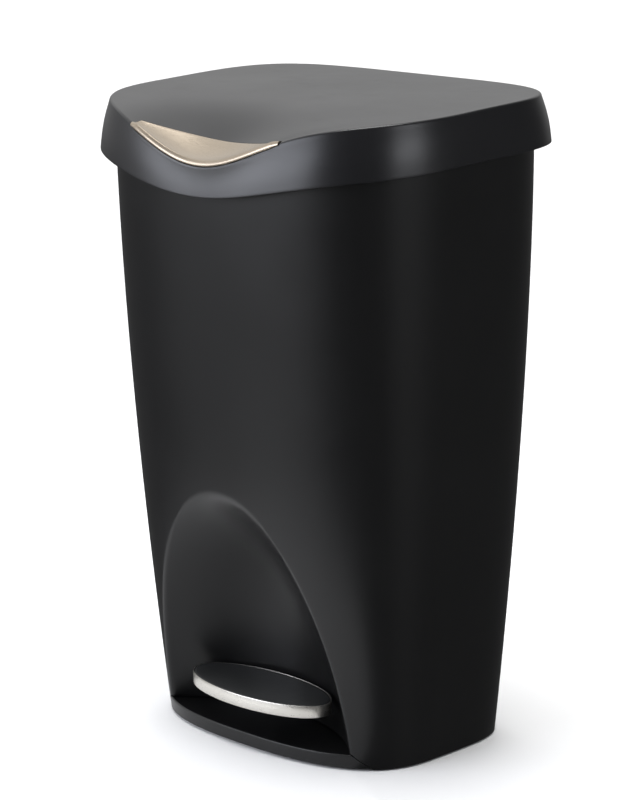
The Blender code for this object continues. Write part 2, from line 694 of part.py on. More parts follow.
def make_pedal():
    low = PEDAL_TOP - PEDAL_H
    bm = bmesh.new()
    skin(bm, [lens(-0.0018, low + 0.0001), lens(-0.0018, PEDAL_TOP - 0.0022)])
    add("pedal_core", bm, plastic("core_plastic"))
    rings = [lens(-0.0004, low), lens(0.0, low + 0.0005), lens(0.0, PEDAL_TOP - 0.0006),
             lens(-0.0004, PEDAL_TOP), lens(-0.0012, PEDAL_TOP), lens(-0.0014, low)]
    bm = bmesh.new()
    rows = skin(bm, rings, False, False)
    n = len(rows[0])
    for i in range(n):
        j = (i + 1) % n
        bm.faces.new((rows[-1][i], rows[-1][j], rows[0][j], rows[0][i]))
    add("pedal_band", bm, steel("band_steel"))
    bm = bmesh.new()
    skin(bm, [lens(-0.0017, PEDAL_TOP - 0.0019), lens(-0.0017, PEDAL_TOP - 0.0003),
              lens(-0.0030, PEDAL_TOP + 0.0003)])
    add("pedal_pad", bm, rubber("pad_rubber"))
    lower = low - 0.0001
    side = [(-0.100, lower - 0.0002), (-0.034, lower - 0.0002), (-0.008, PIVOT_Z + 0.0058),
            (0.008, PIVOT_Z + 0.0058), (0.100, 0.0290), (0.1310, 0.0280), (0.1310, 0.0240),
            (0.098, 0.0240), (0.008, PIVOT_Z - 0.0065), (-0.008, PIVOT_Z - 0.0065),
            (-0.034, lower - 0.0056), (-0.100, lower - 0.0046)]
    lever = add("pedal_lever", extrude_x(side, -0.0150, 0.0150), steel("lever_steel"))
    bore = cylinder(0.0028, ((-0.03, 0, PIVOT_Z), (0.03, 0, PIVOT_Z)), 20)
    boolean(lever, cutter("cut_axle_bore", bore), 'DIFFERENCE')
    add("pedal_axle", cylinder(0.0025, ((-0.0310, 0, PIVOT_Z), (0.0310, 0, PIVOT_Z)), 20),
        steel("axle_steel"))
    for side, tag in ((1, "right"), (-1, "left")):
        xs = sorted((side * 0.0170, side * 0.0250))
        block = add("axle_bearing_" + tag, box(xs[0], xs[1], -0.0080, 0.0080, STEP_Z + CLEAR,
                                               PIVOT_Z + 0.0070), plastic("bearing_" + tag))
        eye = cylinder(0.0027, ((xs[0] - 0.01, 0, PIVOT_Z), (xs[1] + 0.01, 0, PIVOT_Z)), 20)
        boolean(block, cutter("cut_bearing_eye_" + tag, eye), 'DIFFERENCE')
        add("axle_clip_" + tag,
            cylinder(0.0050, ((side * 0.0264, 0, PIVOT_Z), (side * 0.0276, 0, PIVOT_Z)), 20,
                     bore=0.0027), steel("clip_steel_" + tag))


# ---------------------------------------------------------------- build
make_body()
make_base()
make_lid()
add("handle_trim", trim_mesh(), material("brushed_nickel", (0.55, 0.50, 0.44), 1.0, 0.28))
for side, tag in ((1, "right"), (-1, "left")):
    make_hinge(side, tag)
    bx, by, bz = bumper_spot(side)
    add("lid_bumper_" + tag, cylinder(0.0045, ((bx, by, bz + CLEAR), (bx, by, bz + 0.0031))),
        rubber("bumper_rubber_" + tag))
make_crank()
make_rod()
make_channel()
make_pedal()
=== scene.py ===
"""Looks for the pedal bin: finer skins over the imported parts, materials, light and camera.

The skins follow the same outline formulas as the CAD, sampled much more finely. Metres, +Z up,
front towards -Y. A pair of values is read at the floor and at Z_REF unless a comment differs.
"""
import math

import bmesh
import bpy
import numpy as np
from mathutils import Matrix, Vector


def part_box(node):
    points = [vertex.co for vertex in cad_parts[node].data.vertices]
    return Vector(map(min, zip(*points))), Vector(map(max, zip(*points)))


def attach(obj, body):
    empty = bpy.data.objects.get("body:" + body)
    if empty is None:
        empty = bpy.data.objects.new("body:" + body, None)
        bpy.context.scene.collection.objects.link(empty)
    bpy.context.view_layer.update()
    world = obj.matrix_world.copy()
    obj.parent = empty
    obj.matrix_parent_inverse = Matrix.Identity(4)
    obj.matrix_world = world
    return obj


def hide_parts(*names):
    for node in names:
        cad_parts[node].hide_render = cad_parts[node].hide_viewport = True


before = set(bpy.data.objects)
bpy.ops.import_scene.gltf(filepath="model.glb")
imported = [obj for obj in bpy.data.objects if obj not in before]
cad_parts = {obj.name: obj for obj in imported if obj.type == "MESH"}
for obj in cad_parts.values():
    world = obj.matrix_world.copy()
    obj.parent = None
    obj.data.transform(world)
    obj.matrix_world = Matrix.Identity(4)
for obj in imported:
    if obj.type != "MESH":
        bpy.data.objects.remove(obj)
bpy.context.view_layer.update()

# ---------------------------------------------------------------- shape constants, as in the CAD
SHIFT_Y = 0.0045            # puts the middle of the overall box on Y = 0
Z_REF = 0.600               # height the upper body section is given at
HALF_W = (0.1630, 0.1962)
FRONT, BACK = (0.1066, 0.1440), (0.1288, 0.1565)     # depths of the section's two halves
FRONT_N, BACK_N = (2.665, 2.782), (4.690, 4.553)     # and their superellipse powers
LEAN = -0.0107              # the section's centre line moves forward with height
W_POW, D_POW = 1.526, 1.787  # how the taper eases off towards the rim
WALL = 0.0028
BODY_BOTTOM, FLOOR_Z, FLOOR_T = 0.0015, 0.0700, 0.0030
ARCH_W, ARCH_H, ARCH_N = 0.1250, 0.2630, 2.1         # toe recess outline on the front
SCOOP_BACK, SCOOP_POW = -0.0280, (0.85, 1.60)        # its rear wall; powers low and at the top
SEAM_X = (0.1270, 0.1425)   # the step's ends, at its top and at its foot
STEP_Z, PLATE_BOTTOM = 0.0165, 0.0030
SEAM_GAP = 0.0006           # between the body and the base plate
LID_FLARE = 0.0137          # how far the skirt's bottom edge stands out
LID_EDGE = 0.0043           # and the lid's upper edge
LID_T = 0.0025
TILT, LID_Z, SKIRT_Z = 0.0404, 0.6380, 0.5907        # the lid rises towards the back
DIP_Z, DIP_W, DIP_L = 0.0457, 0.1036, 0.0726         # dip of the lid at the handle
SKIRT_DIP, SKIRT_DIP_W = 0.0288, 0.1327
DIP_END, DIP_FADE = -0.0600, 0.0150                  # where the skirt's dip dies out, and how fast
RIM_HIDE = 0.0080           # the body's rim stands this far up inside the skirt
TRIM_X, TRIM_BACK = 0.0987, (-0.1161, -0.1382, 2.16)  # back edge: middle, tips and power
TRIM_LIP = 0.0022           # overhang of the trim's front rim
PEDAL = (0.0890, 0.0390, -0.0745)   # half length, half depth, centre in Y
PEDAL_TOP, PEDAL_H = 0.0580, 0.0125
ROD_LOW, CRANK_Y, CRANK_Z = (0.1230, 0.0290), 0.1385, 0.5809   # line of the lift rod
PEDAL_SLOT = (-0.019, 0.019, -0.060, -0.012, 0.0270, 0.0530)
CRANK_NOTCH = (-0.007, 0.007, 0.140, 0.160, 0.5860, 0.6200)
ROD_HOLE, ROD_HOLE_Z = 0.0047, (0.060, 0.080)        # half side, and the height it spans
TINY = 1e-9


# ---------------------------------------------------------------- outline formulas
def mix(pair, t):
    """Value a share of the way from the first of a pair to the second."""
    return pair[0] + (pair[1] - pair[0]) * t


def section(z, grow=0.0):
    """Half width, front and back depth, their powers, and the centre line at a height."""
    t = np.clip(np.asarray(z, float) / Z_REF, 0.0, 1.0)
    ew, ed = 1 - (1 - t) ** W_POW, 1 - (1 - t) ** D_POW
    return (mix(HALF_W, ew) + grow, mix(FRONT, ed) + grow, mix(BACK, ed) + grow,
            mix(FRONT_N, t), mix(BACK_N, t), LEAN * t + SHIFT_Y)


def front_y(x, z, grow=0.0):
    """Where the front of the section lies at a distance from the middle."""
    a, bf, _, nf, _, yc = section(z, grow)
    return yc - bf * np.maximum(1 - np.minimum(np.abs(x) / a, 1) ** nf, 0) ** (1 / nf)


def outline(z, grow=0.0, steps=2400):
    """Closed (x, y) outline from the front centre, turning towards +X."""
    a, bf, bb, nf, nb, yc = section(z, grow)
    t = 2 * np.pi * np.arange(steps) / steps - np.pi / 2
    c, s = np.cos(t), np.sin(t)
    n = np.where(s < 0, nf, nb)
    b = np.where(s < 0, bf, bb)
    return np.stack([a * np.sign(c) * np.abs(c) ** (2 / n),
                     yc + b * np.sign(s) * np.abs(s) ** (2 / n)], 1)


def resample(pts, count, closed=False):
    """Points at even spacing along a line."""
    if closed:
        pts = np.vstack([pts, pts[:1]])
    run = np.concatenate([[0], np.cumsum(np.linalg.norm(np.diff(pts, axis=0), axis=1))])
    want = np.linspace(0, run[-1], count + 1 if closed else count)
    out = np.stack([np.interp(want, run, pts[:, k]) for k in range(pts.shape[1])], 1)
    return out[:-1] if closed else out


def skirt_z(x, y):
    """Height of the skirt's lower edge, which dips in front."""
    fade = 1 / (1 + np.exp((y - SHIFT_Y - DIP_END) / DIP_FADE))
    dip = np.exp(-(np.abs(x) / SKIRT_DIP_W) ** 2) * fade
    return SKIRT_Z + TILT * (y - SHIFT_Y) - SKIRT_DIP * dip


def lid_front(x):
    """Front edge of the lid's top."""
    return front_y(x, Z_REF, LID_EDGE)


def lid_z(x, y):
    """Height of the lid's top, which dips at the handle."""
    gap = np.maximum(y - lid_front(x), 0)
    drop = DIP_Z * np.exp(-(np.abs(x) / DIP_W) ** 2) * np.exp(-(gap / DIP_L) ** 2)
    return LID_Z + TILT * (y - SHIFT_Y) - drop


def arch_half(z):
    """Half width of the toe recess at a height."""
    t = np.clip(z / ARCH_H, 0, 1)
    return ARCH_W * (1 - t ** ARCH_N) ** (1 / ARCH_N)


def scoop_y(x, z):
    """Rear wall of the toe recess, or the plain front beside it."""
    half, t = max(arch_half(z), TINY), min(z / ARCH_H, 1.0)
    u = np.abs(x) / half
    middle = mix((SCOOP_BACK, front_y(0.0, z)), 1 - (1 - t ** 4) ** 1.5)
    edge = front_y(half, z)
    wall = edge + (middle - edge) * np.maximum(1 - u * u, 0) ** mix(SCOOP_POW, t * t)
    return np.where(u < 1, np.maximum(wall, front_y(x, z)), front_y(x, z))


# ---------------------------------------------------------------- node materials
class Nodes:
    """Shorthand for building one material's shader tree."""

    def __init__(self, name):
        self.mat = bpy.data.materials.new(name)
        self.mat.use_nodes = True
        self.tree = self.mat.node_tree
        self.shader = self.tree.nodes["Principled BSDF"]

    def add(self, kind, links=(), **values):
        node = self.tree.nodes.new(kind)
        for key, value in values.items():
            if key.startswith("in_"):
                node.inputs[key[3:].replace("_", " ")].default_value = value
            else:
                setattr(node, key, value)
        for socket, source in links:
            self.tree.links.new(source, node.inputs[socket])
        return node

    def link(self, source, socket):
        self.tree.links.new(source, self.shader.inputs[socket])

    def coords(self, scale=(1, 1, 1)):
        tex = self.add("ShaderNodeTexCoord")
        return self.add("ShaderNodeMapping", [("Vector", tex.outputs["Object"])],
                        in_Scale=scale).outputs["Vector"]

    def noise(self, vector, scale, detail=3.0, rough=0.5):
        return self.add("ShaderNodeTexNoise", [("Vector", vector)], in_Scale=scale,
                        in_Detail=detail, in_Roughness=rough).outputs["Fac"]

    def ramp(self, fac, low, high, at=(0.3, 0.7)):
        node = self.add("ShaderNodeValToRGB", [("Fac", fac)])
        node.color_ramp.elements[0].position, node.color_ramp.elements[1].position = at
        node.color_ramp.elements[0].color = (*low, 1)
        node.color_ramp.elements[1].color = (*high, 1)
        return node.outputs["Color"]

    def spread(self, fac, low, high, at=(0.3, 0.7)):
        return self.add("ShaderNodeMapRange", [("Value", fac)], in_From_Min=at[0],
                        in_From_Max=at[1], in_To_Min=low, in_To_Max=high).outputs["Result"]

    def bump(self, height, strength, distance, before=None):
        links = [("Height", height)]
        if before is not None:
            links.append(("Normal", before))
        return self.add("ShaderNodeBump", links, in_Strength=strength,
                        in_Distance=distance).outputs["Normal"]


def grained_plastic(name, colour, rough, grain=0.35, scale=1500.0, specular=0.4):
    """Moulded plastic: fine texture, slow roughness drift and faint handling marks."""
    n = Nodes(name)
    at = n.coords()
    drift = n.noise(at, scale=9.0, detail=4.0)
    fine = n.noise(at, scale, detail=2.0)
    voronoi = n.add("ShaderNodeTexVoronoi", [("Vector", at)], in_Scale=scale * 0.6)
    marks = n.noise(n.coords((3, 3, 40)), scale=6.0, detail=5.0, rough=0.65)
    dark = tuple(c * 0.88 for c in colour)
    n.link(n.ramp(drift, dark, colour), "Base Color")
    base = n.spread(drift, rough - 0.025, rough + 0.035)
    wear = n.spread(marks, 0.0, 0.03, (0.55, 0.75))
    total = n.add("ShaderNodeMath", [(0, base), (1, wear)], operation='ADD')
    n.link(total.outputs[0], "Roughness")
    pits = n.bump(voronoi.outputs["Distance"], grain * 0.6, distance=0.00008)
    n.link(n.bump(fine, grain, distance=0.00010, before=pits), "Normal")
    n.shader.inputs["Specular IOR Level"].default_value = specular
    return n.mat


def brushed_metal(name, colour, rough, along, fine=2600.0, depth=0.16):
    """Metal with hair-fine lines running along one axis and soft colour drift."""
    n = Nodes(name)
    stretch = tuple(0.02 if axis == along else 1.0 for axis in "XYZ")
    lines = n.noise(n.coords(stretch), fine, detail=3.0, rough=0.6)
    wide = n.noise(n.coords(stretch), fine * 0.12, detail=2.0)
    drift = n.noise(n.coords(), scale=25.0, detail=3.0)
    light = tuple(min(c * 1.05, 1.0) for c in colour)
    n.link(n.ramp(drift, colour, light), "Base Color")
    n.shader.inputs["Metallic"].default_value = 1.0
    base = n.spread(lines, rough - 0.05, rough + 0.06)
    smear = n.spread(wide, -0.02, 0.03)
    total = n.add("ShaderNodeMath", [(0, base), (1, smear)], operation='ADD')
    n.link(total.outputs[0], "Roughness")
    n.link(n.bump(lines, depth, distance=0.00005), "Normal")
    return n.mat


def matt_rubber(name, colour=(0.020, 0.020, 0.021), rough=0.6):
    """Rubber with a fine grain and slow drift in tone and roughness."""
    n = Nodes(name)
    at = n.coords()
    fine = n.noise(at, scale=2200.0, detail=2.0)
    drift = n.noise(at, scale=30.0, detail=3.0)
    n.link(n.ramp(drift, tuple(c * 0.8 for c in colour), colour), "Base Color")
    n.link(n.spread(drift, rough - 0.05, rough + 0.06), "Roughness")
    n.link(n.bump(fine, 0.3, distance=0.00008), "Normal")
    return n.mat


BODY = grained_plastic("body_plastic", (0.0042, 0.0042, 0.0045), 0.34, specular=0.4)
LID = grained_plastic("lid_plastic", (0.0056, 0.0056, 0.0068), 0.32, specular=0.5)
INNER = grained_plastic("plain_plastic", (0.012, 0.012, 0.013), 0.45, grain=0.15)
NICKEL = brushed_metal("brushed_nickel", (0.345, 0.292, 0.230), 0.30, "X")
BAND = brushed_metal("brushed_steel", (0.63, 0.61, 0.565), 0.30, "X")
STEEL = brushed_metal("plain_steel", (0.60, 0.59, 0.57), 0.32, "Z")
PAD = matt_rubber("pad_rubber", (0.034, 0.035, 0.035), 0.42)
RUBBER = matt_rubber("foot_rubber")


# ---------------------------------------------------------------- mesh building
def grid_faces(rows, cols, wrap, base=0, flip=False):
    """Quads between rows of points; wrap joins each row's last column to its first."""
    faces = []
    for i in range(rows - 1):
        for j in range(cols if wrap else cols - 1):
            k = (j + 1) % cols
            quad = (base + i * cols + j, base + i * cols + k,
                    base + (i + 1) * cols + k, base + (i + 1) * cols + j)
            faces.append(quad[::-1] if flip else quad)
    return faces


def cap(ring, middle, cols):
    """Triangles from a row of points, which starts at an index, to one middle point."""
    return [(ring + j, ring + (j + 1) % cols, middle) for j in range(cols)]


def piece(name, verts, faces, mat, body, slot, *replaced, smooth=True, turn=True):
    """Mesh object that rides on a body and may stand for CAD nodes; no body makes a bare mesh."""
    mesh = bpy.data.meshes.new(name)
    mesh.from_pydata([tuple(map(float, v)) for v in verts], [], faces)
    if turn:
        bm = bmesh.new()
        bm.from_mesh(mesh)
        bmesh.ops.recalc_face_normals(bm, faces=bm.faces)
        bm.to_mesh(mesh)
        bm.free()
    mesh.validate()
    obj = bpy.data.objects.new(name, mesh)
    bpy.context.scene.collection.objects.link(obj)
    mesh.materials.append(mat)
    if smooth:
        mesh.shade_smooth()
    if body:
        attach(obj, body)
        if replaced:
            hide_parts(*replaced)
    return obj


def keep_edges(obj, angle):
    """Shades flat across edges sharper than the angle."""
    bm = bmesh.new()
    bm.from_mesh(obj.data)
    limit = math.radians(angle)
    for e in bm.edges:
        if len(e.link_faces) == 2 and e.calc_face_angle(0.0) > limit:
            e.smooth = False
    bm.to_mesh(obj.data)
    bm.free()


def carve(obj, tool):
    """Cuts a tool out of the mesh and removes the tool."""
    mod = obj.modifiers.new("carve", 'BOOLEAN')
    mod.operation, mod.solver, mod.object = 'DIFFERENCE', 'EXACT', tool
    bpy.context.view_layer.update()
    deps = bpy.context.evaluated_depsgraph_get()
    mesh = bpy.data.meshes.new_from_object(obj.evaluated_get(deps))
    obj.modifiers.remove(mod)
    old = obj.data
    obj.data = mesh
    bpy.data.meshes.remove(old)
    bpy.data.objects.remove(tool, do_unlink=True)


POST_GAP, POST_EDGE = 0.0003, 0.0004    # above the CAD node below, and the bevel at the foot


def over(name):
    """Middle of the top of a CAD node's box."""
    low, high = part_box(name)
    return (low[0] + high[0]) / 2, (low[1] + high[1]) / 2, high[2]


def add_posts(obj, spots, radius, count=40):
    """Adds round posts, each given as (x, y, low z, high z), to a piece's mesh."""
    bm = bmesh.new()
    bm.from_mesh(obj.data)
    angles = [2 * math.pi * k / count for k in range(count)]
    for x, y, low, high in spots:
        rings = []
        for z, r in ((low, radius - POST_EDGE), (low + POST_EDGE, radius), (high, radius)):
            rings.append([bm.verts.new((x + r * math.cos(a), y + r * math.sin(a), z))
                          for a in angles])
        for a, b in zip(rings, rings[1:]):
            for k in range(count):
                j = (k + 1) % count
                bm.faces.new((a[k], a[j], b[j], b[k])).smooth = True
        bm.faces.new(rings[0][::-1])
        bm.faces.new(rings[-1])
    bm.to_mesh(obj.data)
    bm.free()


# ---------------------------------------------------------------- body
N_SCOOP, N_REST = 150, 250          # columns across the recess, and round the rest
RIDGE = np.array([0.0010, 0.0020, 0.0032, 0.0046, 0.0062, 0.0080, 0.0100, 0.0120, 0.0140,
                  0.0158, 0.0175])  # columns just outside the recess's edge
CROWN_W, CROWN_POW = 0.0700, 8      # spreads the recess columns out above the arch
SOFT_REACH, SOFT_PASSES, SOFT_PULL = 5, 10, 0.7    # how the recess's ridges are rounded
SECTIONS, SECTIONS_TOP = 260, 0.6006    # the sections that body_stack reads between
FOOT_AT, RIM_AT = 0.008, 0.599          # heights that the two edges are laid out at
FLOOR_MID_Y = 0.0850


def body_row(z):
    """Section at a height: recess columns, the ridge beside them, then round the back."""
    half = math.hypot(arch_half(z), CROWN_W * min(z / ARCH_H, 1.0) ** CROWN_POW)
    u = np.linspace(-1, 1, N_SCOOP + 1)
    u = 0.55 * u + 0.45 * np.sin(u * np.pi / 2)
    x = half * u
    scoop = np.stack([x, scoop_y(x, z)], 1)
    ridge_x = half + RIDGE
    ridge = np.stack([ridge_x, front_y(ridge_x, z)], 1)
    line = outline(z)
    line = line[(line[:, 1] >= 0) | (np.abs(line[:, 0]) > ridge_x[-1])]
    mirror = (ridge * [-1, 1])[::-1]
    rest = resample(np.vstack([ridge[-1:], line, mirror[:1]]), N_REST)[1:-1]
    return np.vstack([scoop, ridge, rest, mirror])


def seam_low(x, y):
    """Height of the body's lower edge: over the step in front, near the floor elsewhere."""
    t = np.clip((np.abs(x) - SEAM_X[0]) / (SEAM_X[1] - SEAM_X[0]), 0, 1)
    return np.where((y > 0) | (np.abs(x) >= SEAM_X[1]), BODY_BOTTOM,
                    mix((STEP_Z + SEAM_GAP, BODY_BOTTOM), t))


def inset(ring, dist):
    """Moves each point of a closed outline inwards."""
    before, after = np.roll(ring, 1, 0), np.roll(ring, -1, 0)
    d = after - before
    d /= np.maximum(np.linalg.norm(d, axis=1), TINY)[:, None]
    return ring + np.stack([-d[:, 1], d[:, 0]], 1) * dist


def soften(ring):
    """Rounds the two ridges of the recess by a few passes of averaging near them."""
    weight = np.zeros(len(ring))
    for edge in (0, N_SCOOP):
        for k in range(-SOFT_REACH, SOFT_REACH + 1):
            weight[edge + k] = 1 - abs(k) / (SOFT_REACH + 1)
    for _ in range(SOFT_PASSES):
        mid = 0.5 * (np.roll(ring, 1, 0) + np.roll(ring, -1, 0))
        ring = ring + (mid - ring) * (SOFT_PULL * weight)[:, None]
    return ring


def body_stack(levels, low, high, inner=0.0):
    """Rows of (x, y, z) whose columns sit at shares of the way between two heights."""
    zs = np.linspace(0.0, SECTIONS_TOP, SECTIONS)
    sections = np.stack([inset(soften(body_row(z)), inner) for z in zs])
    cols = np.arange(sections.shape[1])
    out = []
    for t in levels:
        z = low + (high - low) * t
        f = np.clip(z / zs[1], 0, len(zs) - 1.001)
        i = f.astype(int)
        w = (f - i)[:, None]
        xy = sections[i, cols] * (1 - w) + sections[i + 1, cols] * w
        out.append(np.column_stack([xy, z]))
    return out


def make_body():
    """One closed skin: under the floor, up the outside, over the rim and down the inside."""
    foot, top = body_row(FOOT_AT), body_row(RIM_AT)
    low = seam_low(foot[:, 0], foot[:, 1])
    low[:N_SCOOP + 1] = STEP_Z + SEAM_GAP
    high = skirt_z(top[:, 0], top[:, 1]) + RIM_HIDE
    under = np.full(len(low), FLOOR_Z)
    outside = np.concatenate([np.linspace(0, 0.5, 100), np.linspace(0.5, 1, 36)[1:]])
    rows = body_stack(np.linspace(1, 0, 8), low, under, WALL)
    rows += body_stack(outside, low, high)
    rows += body_stack(np.linspace(1, 0, 40), under + FLOOR_T, high, WALL)
    cols, count = len(low), len(rows) * len(low)
    verts = np.vstack(rows + [[[0, FLOOR_MID_Y, FLOOR_Z], [0, FLOOR_MID_Y, FLOOR_Z + FLOOR_T]]])
    faces = grid_faces(len(rows), cols, True)
    faces += cap(0, count, cols) + cap(count - cols, count + 1, cols)
    body = piece("visual_body", verts, faces, BODY, "bin", "body_shell",
                 "body_shell", "body_front", "body_rear")
    carve(body, box_tool(*PEDAL_SLOT))
    carve(body, box_tool(*CRANK_NOTCH))
    y = mix((ROD_LOW[0], CRANK_Y), (FLOOR_Z - ROD_LOW[1]) / (CRANK_Z - ROD_LOW[1]))
    carve(body, box_tool(-ROD_HOLE, ROD_HOLE, y - ROD_HOLE, y + ROD_HOLE, *ROD_HOLE_Z))
    keep_edges(body, 40.0)


def box_tool(x0, x1, y0, y1, z0, z1):
    """Box for carving with."""
    verts = [(x, y, z) for z in (z0, z1) for x, y in ((x0, y0), (x1, y0), (x1, y1), (x0, y1))]
    faces = [(3, 2, 1, 0), (4, 5, 6, 7), (0, 1, 5, 4), (1, 2, 6, 5), (2, 3, 7, 6), (3, 0, 4, 7)]
    return piece("tool", verts, faces, BODY, None, None, smooth=False)


# ---------------------------------------------------------------- base plate
PLATE_GAP = 0.0008          # between the plate and the inside of the body's wall
PLATE_UNDER = 0.0028        # how far the plate's underside lies below its top
PLATE_MID_Y = 0.0200
STEP_COLS, NUDGE = 90, 1e-4
FOOT_BOSS_R, BOSS_TOP = 0.0085, 0.0010   # the bosses end this far below the plate's top


def base_row(z, shrink=0.0):
    """The plate's outline: the step's front edge, then round inside the body's wall."""
    rise = (z - BODY_BOTTOM) / (STEP_Z - BODY_BOTTOM)
    edge = mix((SEAM_X[1], SEAM_X[0]), rise) - SEAM_GAP - shrink
    x = np.linspace(-edge, edge, STEP_COLS)
    front = np.stack([x, front_y(x, z, -shrink)], 1)
    deep = WALL + PLATE_GAP + shrink
    inner = inset(body_row(z), deep)
    first, last = N_SCOOP + len(RIDGE), len(inner) - len(RIDGE)
    slope = (front_y(edge + NUDGE, z) - front_y(edge - NUDGE, z)) / (2 * NUDGE)
    way = np.array([-slope, 1.0]) / math.hypot(slope, 1.0)
    turn = front[-1] + way * (deep - shrink)
    # One more point between the turn and the wall keeps the outline clear of the ridge.
    column = inner[first - 5]
    side = column if edge < column[0] - 0.001 else 0.5 * (turn + inner[first])
    flip = np.array([-1, 1])
    return np.vstack([front, [turn, side], inner[first:last + 1], [side * flip, turn * flip]])


def make_base():
    """Plate that closes the foot, with the rounded step in front and a boss over each foot."""
    def ring(z, shrink):
        row = base_row(z, shrink)
        return np.column_stack([row, np.full(len(row), z)])
    rows = [ring(z, s) for z, s in
            ((PLATE_BOTTOM, 0.0), (0.0100, 0.0), (0.0146, 0.0), (0.0156, 0.0002),
             (0.0162, 0.0006), (STEP_Z, 0.0013), (STEP_Z - 0.0001, 0.0022),
             (STEP_Z - 0.0004, 0.0040))]
    low_rows = [ring(z, s) for z, s in
                ((STEP_Z - PLATE_UNDER, 0.0040), (0.0100, 0.0036), (PLATE_BOTTOM, 0.0030))]
    cols = len(rows[0])
    top_mid = len(rows) * cols
    start = top_mid + 1
    end = start + (len(low_rows) - 1) * cols
    verts = np.vstack(rows + [[[0, PLATE_MID_Y, STEP_Z - 0.0004]]]
                      + low_rows + [[[0, PLATE_MID_Y, STEP_Z - PLATE_UNDER]]])
    faces = grid_faces(len(rows), cols, True) + cap(top_mid - cols, top_mid, cols)
    faces += grid_faces(len(low_rows), cols, True, start) + cap(start, len(verts) - 1, cols)
    faces += [(j, (j + 1) % cols, end + (j + 1) % cols, end + j) for j in range(cols)]
    base = piece("visual_base", verts, faces, BODY, "bin", "base_plate", "base_plate")
    feet = [over(name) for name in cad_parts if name.startswith("foot_")]
    add_posts(base, [(x, y, z + POST_GAP, STEP_Z - BOSS_TOP) for x, y, z in feet], FOOT_BOSS_R)
    keep_edges(base, 40.0)


# ---------------------------------------------------------------- lid
LID_COLS = 420
LID_MID_Y = 0.0100                  # the rows of the lid's top close in on this point
SKIRT_BOW = 0.0016                  # outward bulge of the skirt
EDGE_OUT, EDGE_R = 0.0009, 0.00306  # rounding of the lid's upper edge
UNDER_IN = 0.0030                   # the underside's edge lies this far inside the top's
PAD_T, PAD_Y, PAD_X, PAD_FADE = 0.0026, 0.0550, 0.1080, 0.0040   # thicker seat under the trim
LID_CLOSE, LID_POW = (0.004, 0.97), 1.25   # how the rows close in on the middle
BUMPER_BOSS_R, BUMPER_IN = 0.0048, 0.0015


def lid_row(grow, z_of, share=1.0):
    """Outline of the lid at a flare, drawn in towards the middle by a share."""
    ring = resample(outline(Z_REF, grow), LID_COLS, closed=True)
    x, y = ring[:, 0] * share, (ring[:, 1] - LID_MID_Y) * share + LID_MID_Y
    return np.column_stack([x, y, z_of(x, y)])


def under(x, y):
    """Height of the lid's underside."""
    behind = 1 / (1 + np.exp((y - lid_front(x) - PAD_Y) / PAD_FADE))
    beside = 1 / (1 + np.exp((np.abs(x) - PAD_X) / PAD_FADE))
    return lid_z(x, y) - LID_T - PAD_T * behind * beside


def closing(count):
    """Shares that draw rows in from the edge of the lid to near its middle."""
    return 1 - np.linspace(*LID_CLOSE, count) ** LID_POW


def part_way(t, drop=0.0):
    """Height function: a share of the way up from the skirt's foot to the lid's top."""
    return lambda x, y: skirt_z(x, y) + (lid_z(x, y) - skirt_z(x, y)) * t - drop


def flare(t):
    """How far the skirt stands out, a share of the way up."""
    return LID_FLARE - (LID_FLARE - LID_EDGE) * t + SKIRT_BOW * math.sin(math.pi * t)


def make_lid():
    """One closed skin: from the middle of the underside, round the skirt, to the top."""
    rows = [lid_row(LID_EDGE - UNDER_IN - LID_T, under, s) for s in closing(40)[::-1]]
    rows += [lid_row(flare(t) - LID_T, part_way(t)) for t in np.linspace(0.86, 0.1, 8)]
    rows.append(lid_row(LID_FLARE - LID_T, skirt_z))
    rows.append(lid_row(LID_FLARE - 0.0006, skirt_z))
    rows.append(lid_row(LID_FLARE - 0.0001, lambda x, y: skirt_z(x, y) + 0.0003))
    rows += [lid_row(flare(t), part_way(t)) for t in np.linspace(0.02, 0.90, 24)]
    for turn in np.linspace(0, math.pi / 2, 9)[1:]:
        grow = LID_EDGE + EDGE_OUT - EDGE_R * (1 - math.cos(turn))
        rows.append(lid_row(grow, part_way(1.0, EDGE_R * (1 - math.sin(turn)))))
    rows += [lid_row(LID_EDGE + EDGE_OUT - EDGE_R, lid_z, s) for s in closing(90)]
    count = len(rows) * LID_COLS
    middle = [[0, LID_MID_Y, float(f(0.0, LID_MID_Y))] for f in (under, lid_z)]
    verts = np.vstack(rows + [middle])
    faces = grid_faces(len(rows), LID_COLS, True)
    faces += cap(0, count, LID_COLS) + cap(count - LID_COLS, count + 1, LID_COLS)
    lid = piece("visual_lid", verts, faces, LID, "lid", "lid_shell", "lid_shell")
    carve(lid, piece("tool", *trim_tool(), LID, None, None))
    bumpers = [over(name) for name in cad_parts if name.startswith("lid_bumper")]
    add_posts(lid, [(x, y, z + POST_GAP, under(x, y) + BUMPER_IN) for x, y, z in bumpers],
              BUMPER_BOSS_R)
    keep_edges(lid, 40.0)


# ---------------------------------------------------------------- handle trim
TRIM_X_STEPS, TRIM_Y_STEPS = 150, 44
TRIM_PROUD = 0.0003                 # the plate stands this far over the lid
TRIM_DISH, DISH_END = 0.0011, 0.86  # depth of the dished face, and where its front rim starts
TRIM_T, RIM_T, RIM_START = 0.0018, 0.0020, 0.84
RIM_R = 0.0024                      # rounding of the front rim's outside
RIM_CREST, CREST_AT, CREST_W = 0.0026, 0.0032, 0.0026   # the rim's bead, back from its front
REAR_SLOPE, REAR_W = 0.8, 0.0005
END_LENGTH, END_LEFT = 0.0120, 0.35  # the dish and the rim fade to this much at the tips
UNDERCUT, THINNEST = 0.4, 0.0004    # of the rim's underside
SEAT_GAP, TOOL_ABOVE, TOOL_BELOW = 0.0003, 0.0120, 0.0040


